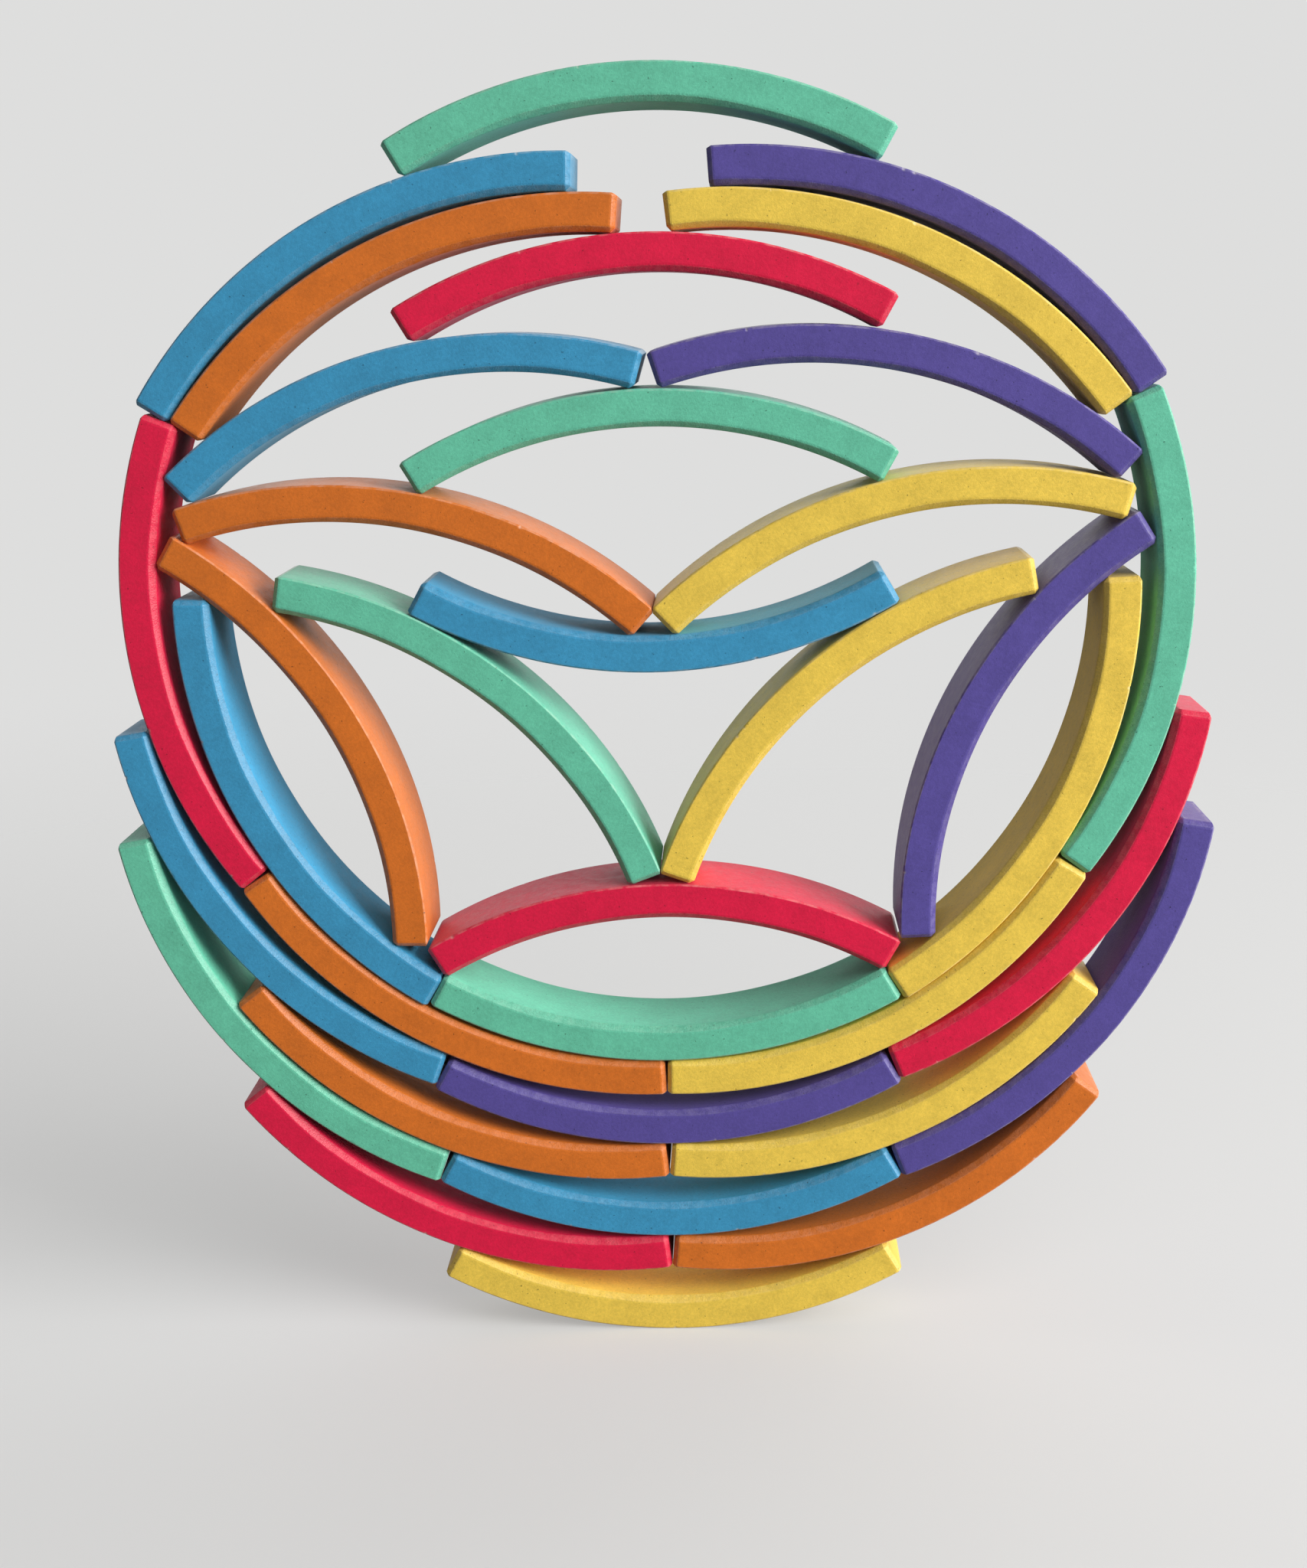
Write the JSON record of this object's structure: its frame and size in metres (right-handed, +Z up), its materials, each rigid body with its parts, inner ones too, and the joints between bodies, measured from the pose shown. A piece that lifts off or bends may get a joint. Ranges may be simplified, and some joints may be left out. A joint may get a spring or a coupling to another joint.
{
  "type": "wooden arc block stack",
  "caption": "Free-standing round figure balanced from loose, alike wooden arc blocks in six colours, each of which can be drawn out of the stack.",
  "frame": {"origin": "the ground under the middle of the foot block", "axes": "+Z up, +X to the right seen from the front, the front face looks along -Y"},
  "size_m": [0.3414, 0.03, 0.3967],
  "materials": {
    "green": "dyed through, sanded, matt",
    "blue": "dyed through, sanded, matt",
    "orange": "dyed through, sanded, matt",
    "yellow": "dyed through, sanded, matt",
    "purple": "dyed through, sanded, matt",
    "red": "dyed through, sanded, matt"
  },
  "bodies": {
    "foot_cup": {"foot_cup": "yellow"},
    "low_cup": {"low_cup": "blue"},
    "middle_cup": {"middle_cup": "purple"},
    "high_cup": {"high_cup": "green"},
    "low_arch": {"low_arch": "red"},
    "heart_cup": {"heart_cup": "blue"},
    "middle_arch": {"middle_arch": "green"},
    "high_arch": {"high_arch": "red"},
    "crown_arch": {"crown_arch": "green"},
    "low_wing_left": {"low_wing_left": "red"},
    "low_wing_right": {"low_wing_right": "orange"},
    "low_side_left": {"low_side_left": "green"},
    "low_side_right": {"low_side_right": "purple"},
    "middle_wing_left": {"middle_wing_left": "orange"},
    "middle_wing_right": {"middle_wing_right": "yellow"},
    "high_side_left": {"high_side_left": "blue"},
    "high_side_right": {"high_side_right": "red"},
    "high_wing_left": {"high_wing_left": "orange"},
    "high_wing_right": {"high_wing_right": "yellow"},
    "outer_post_left": {"outer_post_left": "red"},
    "outer_post_right": {"outer_post_right": "green"},
    "inner_post_left": {"inner_post_left": "blue"},
    "inner_post_right": {"inner_post_right": "yellow"},
    "brace_left": {"brace_left": "orange"},
    "brace_right": {"brace_right": "purple"},
    "fork_left": {"fork_left": "green"},
    "fork_right": {"fork_right": "yellow"},
    "shoulder_left": {"shoulder_left": "orange"},
    "shoulder_right": {"shoulder_right": "yellow"},
    "low_rafter_left": {"low_rafter_left": "blue"},
    "low_rafter_right": {"low_rafter_right": "purple"},
    "middle_rafter_left": {"middle_rafter_left": "orange"},
    "middle_rafter_right": {"middle_rafter_right": "yellow"},
    "high_rafter_left": {"high_rafter_left": "blue"},
    "high_rafter_right": {"high_rafter_right": "purple"}
  },
  "joints": [
    {"name": "low_cup_draw", "type": "slide", "parent": "foot_cup", "child": "low_cup", "axis": [0, -1, 0], "range_m": [0, 0.045]},
    {"name": "middle_cup_draw", "type": "slide", "parent": "foot_cup", "child": "middle_cup", "axis": [0, -1, 0], "range_m": [0, 0.045]},
    {"name": "high_cup_draw", "type": "slide", "parent": "foot_cup", "child": "high_cup", "axis": [0, -1, 0], "range_m": [0, 0.045]},
    {"name": "low_arch_draw", "type": "slide", "parent": "foot_cup", "child": "low_arch", "axis": [0, -1, 0], "range_m": [0, 0.045]},
    {"name": "heart_cup_draw", "type": "slide", "parent": "foot_cup", "child": "heart_cup", "axis": [0, -1, 0], "range_m": [0, 0.045]},
    {"name": "middle_arch_draw", "type": "slide", "parent": "foot_cup", "child": "middle_arch", "axis": [0, -1, 0], "range_m": [0, 0.045]},
    {"name": "high_arch_draw", "type": "slide", "parent": "foot_cup", "child": "high_arch", "axis": [0, -1, 0], "range_m": [0, 0.045]},
    {"name": "crown_arch_draw", "type": "slide", "parent": "foot_cup", "child": "crown_arch", "axis": [0, -1, 0], "range_m": [0, 0.045]},
    {"name": "low_wing_left_draw", "type": "slide", "parent": "foot_cup", "child": "low_wing_left", "axis": [0, -1, 0], "range_m": [0, 0.045]},
    {"name": "low_wing_right_draw", "type": "slide", "parent": "foot_cup", "child": "low_wing_right", "axis": [0, -1, 0], "range_m": [0, 0.045]},
    {"name": "low_side_left_draw", "type": "slide", "parent": "foot_cup", "child": "low_side_left", "axis": [0, -1, 0], "range_m": [0, 0.045]},
    {"name": "low_side_right_draw", "type": "slide", "parent": "foot_cup", "child": "low_side_right", "axis": [0, -1, 0], "range_m": [0, 0.045]},
    {"name": "middle_wing_left_draw", "type": "slide", "parent": "foot_cup", "child": "middle_wing_left", "axis": [0, -1, 0], "range_m": [0, 0.045]},
    {"name": "middle_wing_right_draw", "type": "slide", "parent": "foot_cup", "child": "middle_wing_right", "axis": [0, -1, 0], "range_m": [0, 0.045]},
    {"name": "high_side_left_draw", "type": "slide", "parent": "foot_cup", "child": "high_side_left", "axis": [0, -1, 0], "range_m": [0, 0.045]},
    {"name": "high_side_right_draw", "type": "slide", "parent": "foot_cup", "child": "high_side_right", "axis": [0, -1, 0], "range_m": [0, 0.045]},
    {"name": "high_wing_left_draw", "type": "slide", "parent": "foot_cup", "child": "high_wing_left", "axis": [0, -1, 0], "range_m": [0, 0.045]},
    {"name": "high_wing_right_draw", "type": "slide", "parent": "foot_cup", "child": "high_wing_right", "axis": [0, -1, 0], "range_m": [0, 0.045]},
    {"name": "outer_post_left_draw", "type": "slide", "parent": "foot_cup", "child": "outer_post_left", "axis": [0, -1, 0], "range_m": [0, 0.045]},
    {"name": "outer_post_right_draw", "type": "slide", "parent": "foot_cup", "child": "outer_post_right", "axis": [0, -1, 0], "range_m": [0, 0.045]},
    {"name": "inner_post_left_draw", "type": "slide", "parent": "foot_cup", "child": "inner_post_left", "axis": [0, -1, 0], "range_m": [0, 0.045]},
    {"name": "inner_post_right_draw", "type": "slide", "parent": "foot_cup", "child": "inner_post_right", "axis": [0, -1, 0], "range_m": [0, 0.045]},
    {"name": "brace_left_draw", "type": "slide", "parent": "foot_cup", "child": "brace_left", "axis": [0, -1, 0], "range_m": [0, 0.045]},
    {"name": "brace_right_draw", "type": "slide", "parent": "foot_cup", "child": "brace_right", "axis": [0, -1, 0], "range_m": [0, 0.045]},
    {"name": "fork_left_draw", "type": "slide", "parent": "foot_cup", "child": "fork_left", "axis": [0, -1, 0], "range_m": [0, 0.045]},
    {"name": "fork_right_draw", "type": "slide", "parent": "foot_cup", "child": "fork_right", "axis": [0, -1, 0], "range_m": [0, 0.045]},
    {"name": "shoulder_left_draw", "type": "slide", "parent": "foot_cup", "child": "shoulder_left", "axis": [0, -1, 0], "range_m": [0, 0.045]},
    {"name": "shoulder_right_draw", "type": "slide", "parent": "foot_cup", "child": "shoulder_right", "axis": [0, -1, 0], "range_m": [0, 0.045]},
    {"name": "low_rafter_left_draw", "type": "slide", "parent": "foot_cup", "child": "low_rafter_left", "axis": [0, -1, 0], "range_m": [0, 0.045]},
    {"name": "low_rafter_right_draw", "type": "slide", "parent": "foot_cup", "child": "low_rafter_right", "axis": [0, -1, 0], "range_m": [0, 0.045]},
    {"name": "middle_rafter_left_draw", "type": "slide", "parent": "foot_cup", "child": "middle_rafter_left", "axis": [0, -1, 0], "range_m": [0, 0.045]},
    {"name": "middle_rafter_right_draw", "type": "slide", "parent": "foot_cup", "child": "middle_rafter_right", "axis": [0, -1, 0], "range_m": [0, 0.045]},
    {"name": "high_rafter_left_draw", "type": "slide", "parent": "foot_cup", "child": "high_rafter_left", "axis": [0, -1, 0], "range_m": [0, 0.045]},
    {"name": "high_rafter_right_draw", "type": "slide", "parent": "foot_cup", "child": "high_rafter_right", "axis": [0, -1, 0], "range_m": [0, 0.045]}
  ]
}
